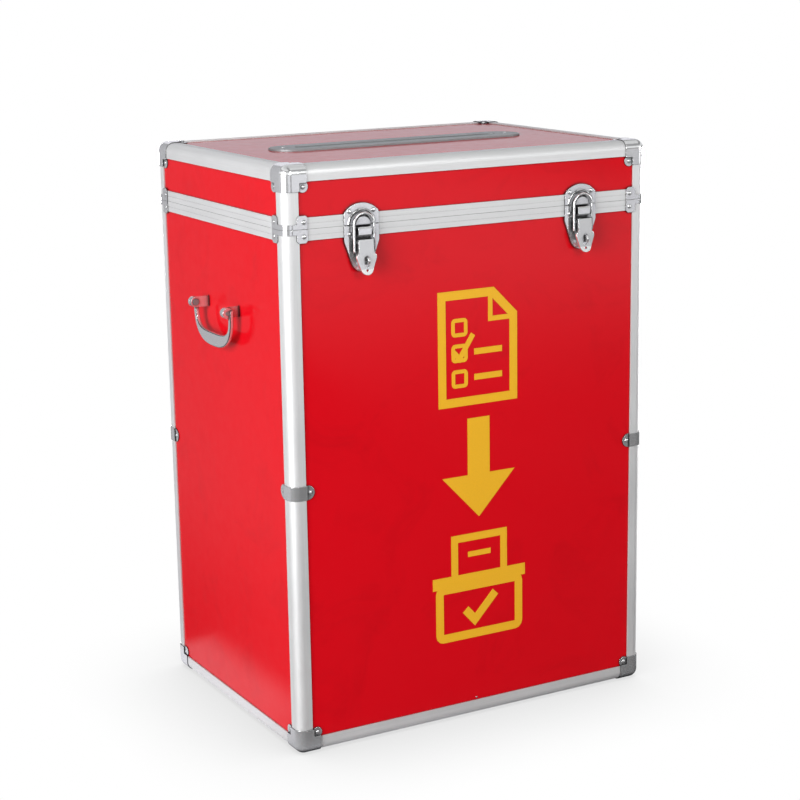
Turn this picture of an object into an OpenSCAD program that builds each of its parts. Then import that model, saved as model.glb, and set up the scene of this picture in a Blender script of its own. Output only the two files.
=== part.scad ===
// Ballot box: board panels in aluminium edge extrusions, hinged lid with a posting slot,
// two draw latches and two drop handles. Millimetres, +Z up, front towards -Y,
// origin on the floor under the middle of the whole object.

/* [Case] */
// Width over the aluminium edges
case_w = 425; // [390:5:480]
// Depth over the aluminium edges
case_d = 310; // [280:5:360]
// Height of the lid top above the foot of the edges
case_h = 599; // [540:5:680]
// Height of the joint between body and lid
joint_h = 537; // [480:1:560]
// Thickness of the board panels
panel_t = 4; // [3:0.5:5]

/* [Edge extrusions] */
// Width of each flange
flange_w = 16; // [14:0.5:18]
// Wall thickness
flange_t = 1.2; // [1:0.1:1.5]
// Outer corner radius
edge_r = 9; // [8:0.5:10]
// Length of the inner legs from the outer face
inner_leg = 15; // [13:0.5:16]

/* [Rims] */
// Height of each rim band
rim_h = 11; // [9:0.5:14]
// Height of the tongue on the body rim
tongue_h = 2.4; // [1.5:0.1:2.6]
// Gap between the closed rims
rim_gap = 0.3; // [0.2:0.1:0.6]

/* [Corner pieces] */
// Sheet thickness
cap_t = 1; // [0.8:0.1:1.2]
// Length of each leg from the outer corner
cap_leg = 25.5; // [22:0.5:30]
// Distance of the rivets from the outer faces
cap_rivet = 21; // [20:0.5:22]
// Radius of the ears
ear_r = 5.5; // [5:0.25:6]
// Height of the mid clips' centre
mid_clip_z = 276; // [200:1:340]
// Height of the mid clips
mid_clip_h = 14.5; // [12:0.5:18]

/* [Lid slot] */
// Length of the posting slot
slot_l = 244; // [180:2:260]
// Width of the posting slot
slot_w = 12; // [8:0.5:16]
// Length of the slot plate
plate_l = 300; // [270:2:320]
// Width of the slot plate
plate_w = 52; // [40:1:60]
// Thickness of the slot plate
plate_t = 1.8; // [1.2:0.1:2.5]

/* [Latches] */
// Distance of each latch from the middle
latch_x = 129; // [100:1:150]
// Width of the strike and base plates
latch_w = 38.6; // [34:0.2:42]
// Width of the lever beside the loop
lever_w = 16.6; // [16:0.2:18]
// Width of the wire loop over the wire
loop_w = 24.6; // [24.4:0.2:27]
// Wire thickness
wire_d = 2.4; // [2:0.1:2.6]

/* [Handles] */
// Height of the handle pivots
handle_z = 443.5; // [300:0.5:450]
// Distance of the handles' middle from the front of the case
handle_y = 150; // [120:1:190]
// Distance between the lugs
lug_span = 75; // [70:1:90]
// Distance of the pivots from the panel
pivot_out = 15.5; // [14:0.5:18]

/* [Hinges] */
// Distance of each hinge from the middle
hinge_x = 129; // [100:1:150]
// Width of the leaves
leaf_w = 42; // [36:1:60]
// Distance of the hinge axis from the back of the case
hinge_out = 4.6; // [4.5:0.1:6]
// Knuckle radius
knuckle_r = 3; // [2.6:0.1:3.1]

/* [Hidden] */
$fn = 48;

red = "#d8101f";
alu = "#d5d7da";
chrome = "#b9bcc0";
steel = "#8f9a9c";

// Levels: the corner pieces stand on the floor and lift the edges by their own thickness
base_z = cap_t;
top_z = base_z + case_h;
seam_z = base_z + joint_h;
lid_z = seam_z + rim_gap;

// Layers counted inwards from the outer faces
board_in = flange_t + panel_t;
liner_t = 1;
inner_in = board_in + liner_t;
panel_edge = edge_r + 0.2;
rim_liner_t = 1.2;
rim_in = board_in + rim_liner_t;

// Rims: the web carries the tongue, and the groove leaves room on both sides of it
web_t = 1.5;
tongue_y = 2.5;
tongue_t = 1.4;
groove_y = 1.7;
groove_w = 3;
groove_h = 3;
rim_end = flange_w + 0.1;
band_line_h = 0.7;
band_line_t = 0.4;
body_board_top = seam_z - web_t;
lid_board_bottom = lid_z + groove_h + web_t;

// Rivets
rivet_r = 1.5;
hole_r = 1.55;
drill_l = 24;
head_r = 2.4;
head_h = 1;
tail_r = 2.4;
tail_h = 0.9;
clip_rivet = 20.8;
clip_rivet_z = 6.8;
mid_rivet = 20.2;
foot_pin_r = 0.9;
foot_pin_up = 18.8;

// Clips at the joint
clip_band_h = 5;
clip_ear_in = 13;
clip_ear_out = 24.8;
clip_ear_h = 13.2;
clip_chamfer = 2.2;

// Latch levels, measured from the joint, and depths, measured out from the front face
latch_t = 1.2;
strike_top = 21.2;
strike_rivet_up = 13.4;
shoulder_r = 7;
crown_r = 25;
base_drop = 46;
base_rivet_down = 8.6;
base_tail_r = 11.7;
latch_rivet_x = 13.2;
lever_t = 1.1;
lever_top_down = 13.6;
lever_top_out = 10.1;
lever_low_out = 11.4;
lever_tip_down = 48.4;
lever_tip_r = 7;
lever_wide = 11;
lever_pivot_down = 16.4;
lever_pivot_out = 6.6;
loop_pivot_down = 25.4;
loop_pivot_out = 6.2;
loop_top = 13;
latch_pin_r = 1.2;
ear_gap = 0.4;
ear_t = 1.2;
base_ear_r = 2.1;
hook_out = 4.6;
hook_r = 8.3;
pad_w = 14.4;
pad_out = 8.4;
staple_down = 34.4;
staple_out = 12.4;
staple_r = 3.6;
staple_hole_r = 1.6;
staple_t = 2;
running = 0.05;
latch_reach = staple_out + staple_r;

// Side handles
lug_t = 2;
lug_r = 5.5;
eye_r = 5.6;
eye_t = 5;
eye_gap = 0.4;
bail_t = 4;
bail_half = 46;
arm_w = 5.6;
grip_h = 14;
bail_drop = 41;
handle_pin_r = 2;

// Hinges
hinge_pin_r = 1.4;
knuckle_bore = 1.46;
leaf_t = 1.2;
hinge_reach = hinge_out + knuckle_r;
hinge_rivet_x = 14;
hinge_rivet_z = 20;

// The latches reach further out than the hinges, so the case sits behind the origin
case_y = (latch_reach - hinge_reach) / 2;
front_y = case_y - case_d / 2;
back_y = case_y + case_d / 2;
half_w = case_w / 2;
half_d = case_d / 2;

// Rivet places on each outer face, as [across, height]
function mirrored(list) = [for (p = list) for (s = [-1, 1]) [s * p[0], p[1]]];
function foot_places(half) = mirrored([[half - cap_rivet, base_z + cap_rivet]]);
function mid_places(half) = mirrored([[half - mid_rivet, mid_clip_z]]);
function body_clip_places(half) = mirrored([[half - clip_rivet, seam_z - clip_rivet_z]]);
function lid_clip_places(half) = mirrored([[half - clip_rivet, lid_z + clip_rivet_z]]);
function top_places(half) = mirrored([[half - cap_rivet, top_z - cap_rivet]]);
function pair_places(x, dx, z) = mirrored([[x - dx, z], [x + dx, z]]);
function under_clips(half) = concat(body_clip_places(half), base_places);
function over_clips(half) = lid_clip_places(half);
base_places = pair_places(latch_x, latch_rivet_x, seam_z - base_rivet_down);
strike_places = pair_places(latch_x, latch_rivet_x, lid_z + strike_rivet_up);
leaf_low_places = pair_places(hinge_x, hinge_rivet_x, seam_z - hinge_rivet_z);
leaf_high_places = pair_places(hinge_x, hinge_rivet_x, lid_z + hinge_rivet_z);
foot_pin_place = [0, base_z + 18.8];

// Frames: children are drawn with a face at y = 0, its outside towards -y

module on_front() { translate([0, front_y, 0]) children(); }
module on_back() { translate([0, back_y, 0]) mirror([0, 1, 0]) children(); }
module on_left() { translate([-half_w, case_y, 0]) rotate([0, 0, -90]) children(); }
module on_right() { translate([half_w, case_y, 0]) rotate([0, 0, 90]) children(); }

// Children are drawn with the outer corner at the origin and the case towards +x, +y
module at_upright(right, back) {
    mirror([right, 0, 0]) translate([-half_w, 0, 0])
        translate([0, case_y, 0]) mirror([0, back, 0]) translate([0, -half_d, 0]) children();
}

module at_uprights() {
    for (right = [0, 1]) for (back = [0, 1]) at_upright(right, back) children();
}

// Turns a shape along z into one along x, or along y
module along_x() { rotate(a = 120, v = [1, 1, 1]) children(); }
module along_y() { rotate(a = -120, v = [1, 1, 1]) children(); }

// Draws a shape of the plane y = 0, given as (x, z), from depth y0 to y1
module plate(y0, y1) {
    translate([0, y1, 0]) rotate([90, 0, 0]) linear_extrude(y1 - y0) children();
}

// Edge extrusions

module rounded_corner(size, r) {
    intersection() {
        translate([r, r]) circle(r);
        square(r);
    }
    translate([r, 0]) square([size - r, size]);
    translate([0, r]) square([size, size - r]);
}

module edge_profile() {
    difference() {
        rounded_corner(flange_w, edge_r);
        translate([flange_t, flange_t]) rounded_corner(flange_w, edge_r - flange_t);
    }
    difference() {
        translate([board_in, board_in]) square(inner_leg - board_in);
        translate([inner_in, inner_in]) square(inner_leg);
    }
    for (swap = [0, 1]) mirror([swap, -swap])
        translate([edge_r - liner_t, flange_t - 0.1]) square([liner_t, panel_t + 0.3]);
}

// Cuts an upright end back to the planes in which the edges meet, and clears the very corner
module mitre() {
    reach = 2 * flange_w;
    translate([-1, -1, -1]) cube(edge_r + 1);
    for (swap = [0, 1]) mirror([swap, -swap, 0])
        plate(-1, reach) polygon([[-1, -1], [reach, -1], [reach, reach]]);
}

module edge_bar(length, low_mitre, high_mitre) {
    difference() {
        linear_extrude(length) edge_profile();
        if (low_mitre) mitre();
        if (high_mitre) translate([0, 0, length]) mirror([0, 0, 1]) mitre();
    }
}

module body_post(right, back) {
    color(alu) at_upright(right, back) translate([0, 0, base_z]) edge_bar(joint_h, true, false);
}

module lid_post(right, back) {
    color(alu) at_upright(right, back) translate([0, 0, lid_z]) edge_bar(top_z - lid_z, false, true);
}

module rail_x(back, top) {
    color(alu) at_upright(0, back) translate([0, 0, top ? top_z : base_z]) mirror([0, 0, top])
        along_x() edge_bar(case_w, true, true);
}

module rail_y(right, top) {
    color(alu) at_upright(right, 0) translate([0, 0, top ? top_z : base_z]) mirror([0, 0, top])
        along_y() edge_bar(case_d, true, true);
}

// Rims: drawn across x with the face at y = 0

// Fine groove rolled along the middle of a band
module band_line(length) {
    translate([-length / 2, -1, rim_h / 2 - band_line_h / 2]) cube([length, 1 + band_line_t, band_line_h]);
}

module body_rim(length, places) {
    color(alu) difference() {
        body_rim_bar(length);
        translate([0, 0, seam_z - rim_h]) band_line(length);
        holes(places);
    }
}

module body_rim_bar(length) {
    union() {
        translate([-length / 2 + rim_end, 0, 0]) {
            run = length - 2 * rim_end;
            translate([0, 0, seam_z - rim_h]) {
                cube([run, flange_t, rim_h]);
                translate([0, board_in, 0]) cube([run, rim_liner_t, rim_h]);
            }
            translate([0, 0, seam_z - web_t]) cube([run, rim_in, web_t]);
        }
        translate([-length / 2 + panel_edge, 0, 0]) {
            run = length - 2 * panel_edge;
            translate([0, flange_t + 0.1, seam_z - web_t]) cube([run, panel_t - 0.2, web_t]);
            translate([0, tongue_y, seam_z - web_t]) cube([run, tongue_t, web_t + tongue_h]);
        }
    }
}

module lid_rim(length, places) {
    color(alu) difference() {
        translate([0, 0, lid_z]) lid_rim_bar(length);
        holes(places);
    }
}

module lid_rim_bar(length) {
    difference() {
        union() {
            translate([-length / 2 + rim_end, 0, 0]) {
                run = length - 2 * rim_end;
                cube([run, flange_t, rim_h]);
                translate([0, board_in, 0]) cube([run, rim_liner_t, rim_h]);
                cube([run, rim_in, groove_h + web_t]);
            }
            translate([-length / 2 + panel_edge, flange_t + 0.1, 0])
                cube([length - 2 * panel_edge, panel_t - 0.2, groove_h + web_t]);
        }
        translate([-length / 2, groove_y, -1]) cube([length, groove_w, groove_h + 1]);
        band_line(length);
    }
}

// Panels

module holes(places) {
    for (p = places) translate([p[0], 0, p[1]])
        rotate([90, 0, 0]) cylinder(h = drill_l, r = hole_r, center = true);
}

module wall(length, z0, z1, places) {
    difference() {
        translate([-length / 2 + panel_edge, flange_t, z0])
            cube([length - 2 * panel_edge, panel_t, z1 - z0]);
        holes(places);
    }
}

module body_wall(length, places) {
    half = length / 2;
    wall(length, base_z + panel_edge, body_board_top,
        concat(foot_places(half), mid_places(half), body_clip_places(half), places));
}

module lid_wall(length, places) {
    half = length / 2;
    wall(length, lid_board_bottom, top_z - panel_edge,
        concat(top_places(half), lid_clip_places(half), places));
}

module front_panel() {
    color(red) difference() {
        on_front() body_wall(case_w, base_places);
        at_foot_pin() cylinder(h = drill_l, r = foot_pin_r + 0.05, center = true);
    }
}

module back_panel() {
    color(red) on_back() body_wall(case_w, leaf_low_places);
}

// Small pin through the front board in the middle of its foot
module at_foot_pin() {
    on_front() translate([0, 0, base_z + foot_pin_up]) rotate([90, 0, 0]) children();
}

module side_panel(side) {
    color(red) mirror([side, 0, 0]) difference() {
        on_left() body_wall(case_d, []);
        lug_slots();
    }
}

module level_panel(z) {
    difference() {
        translate([-half_w + panel_edge, front_y + panel_edge, z])
            cube([case_w - 2 * panel_edge, case_d - 2 * panel_edge, panel_t]);
        at_uprights() translate([cap_rivet, cap_rivet, z - 1]) cylinder(h = panel_t + 2, r = hole_r);
        children();
    }
}

module bottom_panel() {
    color(red) level_panel(base_z + flange_t);
}

module lid_top_panel() {
    color(red) level_panel(top_z - board_in)
        translate([0, case_y, top_z - board_in - 1]) linear_extrude(panel_t + 2) {
            square([slot_l + 8, slot_w + 14], center = true);
            plate_screw_places() circle(hole_r);
        }
}

module lid_front_panel() { color(red) on_front() lid_wall(case_w, strike_places); }
module lid_back_panel() { color(red) on_back() lid_wall(case_w, leaf_high_places); }
module lid_left_panel() { color(red) on_left() lid_wall(case_d, []); }
module lid_right_panel() { color(red) on_right() lid_wall(case_d, []); }

// Slot plate

module stadium(length, width) {
    for (s = [-1, 1]) translate([s * (length - width) / 2, 0]) circle(width / 2);
    square([length - width, width], center = true);
}

module plate_screw_places() {
    for (s = [-1, 1]) translate([s * (slot_l + plate_l) / 4, 0]) children();
}

module slot_plate() {
    chamfer = 0.6;
    color(steel) translate([0, case_y, top_z - flange_t]) difference() {
        union() {
            linear_extrude(plate_t - chamfer) stadium(plate_l, plate_w);
            linear_extrude(plate_t) stadium(plate_l - 2 * chamfer, plate_w - 2 * chamfer);
        }
        translate([0, 0, -1]) linear_extrude(plate_t + 2) {
            stadium(slot_l, slot_w);
            plate_screw_places() circle(hole_r);
        }
    }
}

// Three-way corner pieces and clips

// The rounded corner of the case, grown outwards by g
module corner_block(size, g) {
    r = edge_r + g;
    translate([edge_r, edge_r, edge_r]) {
        sphere(r);
        cylinder(h = size - edge_r, r = r);
        along_x() cylinder(h = size - edge_r, r = r);
        along_y() cylinder(h = size - edge_r, r = r);
        translate([-r, 0, 0]) cube([r + 1, size - edge_r, size - edge_r]);
        translate([0, -r, 0]) cube([size - edge_r, r + 1, size - edge_r]);
        translate([0, 0, -r]) cube([size - edge_r, size - edge_r, r + 1]);
    }
}

// Legs of a corner piece seen square to one face
module cap_face() {
    translate([-cap_t - 1, -cap_t - 1]) {
        square([flange_w + cap_t + 1, cap_leg + cap_t + 1]);
        square([cap_leg + cap_t + 1, flange_w + cap_t + 1]);
    }
}

module cap_ear_shape() {
    side = cap_rivet + ear_r * 0.7 - flange_w + 1;
    translate([cap_rivet, cap_rivet]) circle(ear_r);
    translate([flange_w - 1, flange_w - 1]) square([cap_rivet - flange_w + 1, side]);
    translate([flange_w - 1, flange_w - 1]) square([side, cap_rivet - flange_w + 1]);
}

// Ear of a corner piece on the face y = 0: it steps down from the flange to the board
module cap_ear() {
    step = flange_w + 0.05;
    step_end = step + cap_t;
    difference() {
        union() {
            plate(flange_t - cap_t, flange_t) intersection() {
                cap_ear_shape();
                translate([step, step]) square(cap_leg);
            }
            plate(-cap_t, flange_t) difference() {
                intersection() {
                    cap_ear_shape();
                    translate([step, step]) square(cap_leg);
                }
                translate([step_end, step_end]) square(cap_leg);
            }
            plate(-cap_t, 0) intersection() {
                cap_ear_shape();
                difference() {
                    square(cap_leg);
                    translate([step_end, step_end]) square(cap_leg);
                }
            }
        }
        translate([cap_rivet, 0, cap_rivet]) rotate([90, 0, 0])
            cylinder(h = 4 * cap_t, r = hole_r, center = true);
    }
}

module corner_cap() {
    size = cap_leg + 4;
    intersection() {
        difference() {
            corner_block(size, cap_t);
            corner_block(size + 1, 0);
        }
        plate(-cap_t - 1, size) cap_face();
        along_x() plate(-cap_t - 1, size) cap_face();
        along_y() plate(-cap_t - 1, size) cap_face();
    }
    cap_ear();
    along_x() cap_ear();
    along_y() cap_ear();
}

module bottom_corners() {
    color(chrome) at_uprights() translate([0, 0, base_z]) corner_cap();
}

module top_corners() {
    color(chrome) at_uprights() translate([0, 0, top_z]) mirror([0, 0, 1]) corner_cap();
}

// A band round an upright, with its legs out to reach on both faces
module upright_band(height, reach) {
    difference() {
        translate([-cap_t, -cap_t, 0]) linear_extrude(height)
            rounded_corner(reach + cap_t, edge_r + cap_t);
        translate([0, 0, -1]) linear_extrude(height + 2) rounded_corner(reach + 1, edge_r);
    }
}

module both_faces() {
    children();
    mirror([1, -1, 0]) children();
}

module rim_clip() {
    upright_band(clip_band_h, clip_ear_out - clip_chamfer);
    both_faces() difference() {
        plate(-cap_t, 0) polygon([
            [clip_ear_in, 0], [clip_ear_out, 0],
            [clip_ear_out, clip_ear_h - clip_chamfer], [clip_ear_out - clip_chamfer, clip_ear_h],
            [clip_ear_in + clip_chamfer, clip_ear_h], [clip_ear_in, clip_ear_h - clip_chamfer]
        ]);
        holes([[clip_rivet, clip_rivet_z]]);
    }
}

module body_rim_clips() {
    color(chrome) at_uprights() translate([0, 0, seam_z]) mirror([0, 0, 1]) rim_clip();
}

module lid_rim_clips() {
    color(chrome) at_uprights() translate([0, 0, lid_z]) rim_clip();
}

module mid_clip_ear() {
    step = flange_w + 0.05;
    low = -mid_clip_h / 2;
    difference() {
        union() {
            plate(-cap_t, 0) translate([edge_r, low]) square([step + cap_t - edge_r, mid_clip_h]);
            plate(-cap_t, flange_t) translate([step, low]) square([cap_t, mid_clip_h]);
            plate(flange_t - cap_t, flange_t) {
                translate([step, low]) square([cap_t + 1, mid_clip_h]);
                intersection() {
                    translate([step + cap_t + 1, 0]) circle(mid_clip_h / 2);
                    translate([step, low]) square(2 * mid_clip_h);
                }
            }
        }
        holes([[mid_rivet, 0]]);
    }
}

module mid_clips() {
    color(chrome) at_uprights() translate([0, 0, mid_clip_z]) {
        translate([0, 0, -mid_clip_h / 2]) upright_band(mid_clip_h, edge_r + 1);
        both_faces() mid_clip_ear();
    }
}

// Rivets: the head seats at depth y0, and the tail closes behind depth y1

module rivet(y0, y1) {
    dome_r = (head_r * head_r + head_h * head_h) / (2 * head_h);
    translate([0, y0, 0]) rotate([90, 0, 0]) rotate_extrude() intersection() {
        translate([0, head_h - dome_r]) circle(dome_r);
        square([head_r, head_h]);
    }
    translate([0, y1 + tail_h, 0]) rotate([90, 0, 0]) cylinder(h = y1 + tail_h - y0, r = rivet_r);
    translate([0, y1 + tail_h, 0]) rotate([90, 0, 0]) cylinder(h = tail_h, r = tail_r);
}

module rivets(places, y0, y1) {
    for (p = places) translate([p[0], 0, p[1]]) rivet(y0, y1);
}

module body_wall_rivets(half) {
    rivets(concat(foot_places(half), mid_places(half)), flange_t - cap_t, board_in);
    rivets(body_clip_places(half), -cap_t, rim_in);
}

module lid_wall_rivets(half) {
    rivets(top_places(half), flange_t - cap_t, board_in);
    rivets(lid_clip_places(half), -cap_t, rim_in);
}

// Rivets through the bottom or top board at the four corners
module level_rivets() {
    at_uprights() along_x() translate([cap_rivet, 0, cap_rivet]) rivet(flange_t - cap_t, board_in);
}

module body_rivets() {
    color(steel) {
        on_front() {
            body_wall_rivets(half_w);
            rivets(base_places, -latch_t, rim_in);
        }
        on_back() {
            body_wall_rivets(half_w);
            rivets(leaf_low_places, 0, board_in);
        }
        on_left() body_wall_rivets(half_d);
        on_right() body_wall_rivets(half_d);
        translate([0, 0, base_z]) level_rivets();
        at_foot_pin() translate([0, 0, -board_in]) cylinder(h = panel_t + 0.2, r = foot_pin_r);
    }
}

module lid_rivets() {
    color(steel) {
        on_front() {
            lid_wall_rivets(half_w);
            rivets(strike_places, -latch_t, board_in);
        }
        on_back() {
            lid_wall_rivets(half_w);
            rivets(leaf_high_places, 0, board_in);
        }
        on_left() lid_wall_rivets(half_d);
        on_right() lid_wall_rivets(half_d);
        translate([0, 0, top_z]) mirror([0, 0, 1]) level_rivets();
        translate([0, case_y, top_z]) plate_screw_places() rotate([-90, 0, 0])
            rivet(flange_t - plate_t, board_in);
    }
}

// Latches: heights from the joint, depths out from the front face

module at_latch(side) {
    on_front() translate([side * latch_x, 0, seam_z]) children();
}

// Draws a side view, given as (outwards, height), from x0 to x1
module cheek(x0, x1) {
    translate([x0, 0, 0]) rotate([0, 0, -90]) rotate([90, 0, 0])
        translate([0, 0, x0 - x1]) linear_extrude(x1 - x0) children();
}

module in_pairs() {
    children();
    mirror([1, 0, 0]) children();
}

// Pressed sheet with a turned-down edge; the children draw its outline and the hollow behind it
module pressed_sheet() {
    difference() {
        plate(-latch_t, flange_t) children(0);
        plate(0, 2 * flange_t) children(1);
    }
}

// Outline tapering from two shoulder circles at (ax, az) to one round end at height bz; the straight
// sides lie a hair inside the common tangents, so that they cross the circles cleanly
module shield(ax, az, ar, bz, br, inset) {
    hair = 0.02;
    d = [-ax, bz - az];
    len = norm(d);
    c = (ar - br) / len;
    n = (c * d + sqrt(1 - c * c) * [-d[1], d[0]]) / len;
    p = [ax, az] + (ar - inset - hair) * n;
    q = [0, bz] + (br - inset - hair) * n;
    for (s = [-1, 1]) translate([s * ax, az]) circle(ar - inset);
    translate([0, bz]) circle(br - inset);
    polygon([[-ax, az], [ax, az], p, q, [-q[0], q[1]], [-p[0], p[1]]]);
}

module base_outline(inset) {
    half = latch_w / 2 - inset;
    shield(latch_w / 2 - 4, -15, 4, -base_drop + base_tail_r, base_tail_r, inset);
    translate([-half, -15]) square([2 * half, 14.7 - inset]);
}

module latch_base(side) {
    ear_x = lever_w / 2 - lever_t - ear_gap;
    color(chrome) at_latch(side) difference() {
        union() {
            pressed_sheet() {
                base_outline(0);
                union() {
                    base_outline(latch_t);
                    translate([-latch_w, -rim_h - 0.2]) square(2 * latch_w);
                }
            }
            latch_bridge();
            in_pairs() cheek(ear_x - ear_t, ear_x) {
                translate([lever_pivot_out, -lever_pivot_down]) circle(base_ear_r);
                translate([latch_t / 2, -lever_pivot_down - base_ear_r])
                    square([lever_pivot_out - latch_t / 2, 2 * base_ear_r]);
            }
            cheek(-staple_t / 2, staple_t / 2) {
                translate([staple_out, -staple_down]) circle(staple_r);
                translate([latch_t / 2, -staple_down - staple_r])
                    square([staple_out - latch_t / 2, 2 * staple_r]);
            }
        }
        cheek(-staple_t, staple_t) translate([staple_out, -staple_down]) circle(staple_hole_r);
        cheek(-lever_w, lever_w) translate([lever_pivot_out, -lever_pivot_down]) circle(latch_pin_r);
        translate([0, 0, -seam_z]) holes([for (s = [-1, 1]) [s * latch_rivet_x, seam_z - base_rivet_down]]);
    }
}

// Bent strap standing out of the base above the lever
module latch_bridge() {
    high = -1.4;
    low = -10.8;
    bend = 2;
    cheek(-pad_w / 2, pad_w / 2) difference() {
        union() {
            translate([latch_t / 2, low]) square([pad_out - bend - latch_t / 2, high - low]);
            translate([latch_t / 2, low + bend]) square([pad_out - latch_t / 2, high - low - 2 * bend]);
            for (z = [low + bend, high - bend]) translate([pad_out - bend, z]) circle(bend);
        }
        translate([0, low + latch_t]) square([pad_out - latch_t, high - low - 2 * latch_t]);
    }
}

// Outline of the lever from the front: straight beside the loop, wide below it, round at the tip
module lever_outline(inset) {
    half = lever_w / 2 - inset;
    wide_down = loop_pivot_down + 5.6;
    shield(lever_wide - 4.5, -wide_down, 4.5, -lever_tip_down + lever_tip_r, lever_tip_r, inset);
    translate([-half, -wide_down]) square([2 * half, wide_down - lever_top_down]);
}

module latch_lever(side) {
    half = lever_w / 2;
    flare = 1.4;
    flare_down = lever_tip_down - 6;
    reach = 2 * lever_low_out;
    color(chrome) at_latch(side) difference() {
        union() {
            intersection() {
                cheek(-latch_w, latch_w) polygon([
                    [lever_top_out - lever_t, -lever_top_down], [lever_top_out, -lever_top_down],
                    [lever_low_out, -flare_down], [lever_low_out + flare, -lever_tip_down],
                    [lever_low_out + flare - lever_t, -lever_tip_down], [lever_low_out - lever_t, -flare_down]
                ]);
                plate(-reach, 0) lever_outline(0);
            }
            intersection() {
                in_pairs() cheek(half - lever_t, half) polygon([
                    [lever_top_out - 0.2, -lever_top_down], [4, -lever_top_down], [3, -lever_top_down - 1.6],
                    [3, -loop_pivot_down - 3], [7.4, -loop_pivot_down - 9], [lever_low_out - 0.4, -flare_down],
                    [lever_low_out - 0.4, -flare_down + 4]
                ]);
                plate(-reach, 0) lever_outline(0);
            }
            intersection() {
                cheek(-latch_w, latch_w) polygon([
                    [lever_top_out + 0.2, -loop_pivot_down - 3], [lever_top_out - 1.8, -loop_pivot_down - 3],
                    [lever_low_out - 2.2, -flare_down], [lever_low_out + flare - 1.8, -lever_tip_down],
                    [lever_low_out + flare - 0.5, -lever_tip_down], [lever_low_out - 0.5, -flare_down]
                ]);
                plate(-reach, 0) difference() {
                    lever_outline(0);
                    lever_outline(lever_t);
                }
            }
        }
        cheek(-lever_w, lever_w) {
            translate([lever_pivot_out, -lever_pivot_down]) circle(latch_pin_r + running);
            translate([loop_pivot_out, -loop_pivot_down]) circle(wire_d / 2 + running);
        }
        plate(-reach, -lever_pivot_out - 2) {
            translate([0, -staple_down - 0.9]) rotate(90) stadium(10.8, 4.4);
            translate([0, -lever_tip_down + 4.4]) circle(1.2);
        }
    }
}

module latch_loop(side) {
    bend_r = loop_w / 2 - wire_d / 2;
    arch_z = loop_top - loop_w / 2;
    end_x = lever_w / 2 - lever_t - 0.2;
    color(chrome) at_latch(side) translate([0, -loop_pivot_out, 0]) {
        translate([0, 0, arch_z]) rotate([90, 0, 0]) rotate_extrude(angle = 180)
            translate([bend_r, 0]) circle(wire_d / 2);
        in_pairs() translate([bend_r, 0, -loop_pivot_down]) {
            cylinder(h = arch_z + loop_pivot_down, r = wire_d / 2);
            sphere(wire_d / 2);
            rotate([0, -90, 0]) cylinder(h = bend_r - end_x, r = wire_d / 2);
        }
    }
}

// Strike outline: straight sides, round shoulders and a flatter crown, all tangent
module strike_outline(inset) {
    shoulder_x = latch_w / 2 - shoulder_r;
    crown_z = strike_top - crown_r;
    shoulder_z = crown_z + sqrt(pow(crown_r - shoulder_r, 2) - shoulder_x * shoulder_x);
    fan = 2 * crown_r / (crown_r - shoulder_r);
    for (s = [-1, 1]) translate([s * shoulder_x, shoulder_z]) circle(shoulder_r - inset);
    translate([inset - latch_w / 2, 0.3]) square([latch_w - 2 * inset, shoulder_z - 0.3]);
    intersection() {
        translate([0, crown_z]) circle(crown_r - inset, $fn = 96);
        polygon([
            [-shoulder_x, shoulder_z], [shoulder_x, shoulder_z],
            [shoulder_x * fan, crown_z + (shoulder_z - crown_z) * fan],
            [-shoulder_x * fan, crown_z + (shoulder_z - crown_z) * fan]
        ]);
    }
}

module latch_strike(side) {
    color(chrome) on_front() translate([side * latch_x, 0, lid_z]) difference() {
        union() {
            pressed_sheet() {
                strike_outline(0);
                union() {
                    strike_outline(latch_t);
                    translate([-latch_w, rim_h + 0.2 - 2 * latch_w]) square(2 * latch_w);
                }
            }
            plate(-hook_out + 1.2, -latch_t / 2) hook_face(hook_r - 1.2);
            plate(-hook_out, -hook_out + 1.4) hook_face(hook_r);
        }
        translate([0, 0, -lid_z]) holes([for (s = [-1, 1]) [s * latch_rivet_x, lid_z + strike_rivet_up]]);
    }
}

module hook_face(r) {
    intersection() {
        circle(r);
        translate([-r, 0.3]) square(2 * r);
    }
}

module latch_pins() {
    reach = lever_w / 2 + 0.2;
    color(steel) for (side = [-1, 1]) at_latch(side)
        cheek(-reach, reach) translate([lever_pivot_out, -lever_pivot_down]) circle(latch_pin_r);
}

// Side handles: drawn on the left, with x towards the front and z = 0 at the pivots

module at_handle(side) {
    mirror([side, 0, 0]) on_left() translate([half_d - handle_y, 0, handle_z]) children();
}

module lug_slots() {
    on_left() translate([half_d - handle_y, 0, handle_z]) in_pairs()
        translate([lug_span / 2, drill_l / 2, 0]) rotate([90, 0, 0])
            linear_extrude(drill_l) square([lug_t + 0.4, 2 * lug_r + 0.4], center = true);
}

module handle_plate(side) {
    back_w = lug_span + 22;
    back_h = 34;
    back_r = 6;
    pin_out = pivot_out - flange_t;
    color(chrome) at_handle(side) difference() {
        union() {
            plate(board_in, board_in + 1.5) {
                square([back_w - 2 * back_r, back_h], center = true);
                square([back_w, back_h - 2 * back_r], center = true);
                for (sx = [-1, 1]) for (sz = [-1, 1])
                    translate([sx * (back_w / 2 - back_r), sz * (back_h / 2 - back_r)]) circle(back_r);
            }
            in_pairs() cheek(lug_span / 2 - lug_t / 2, lug_span / 2 + lug_t / 2) {
                translate([pin_out, 0]) circle(lug_r);
                translate([-board_in - 0.5, -lug_r]) square([pin_out + board_in + 0.5, 2 * lug_r]);
            }
        }
        cheek(-lug_span, lug_span) translate([pin_out, 0]) circle(handle_pin_r);
    }
}

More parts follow.
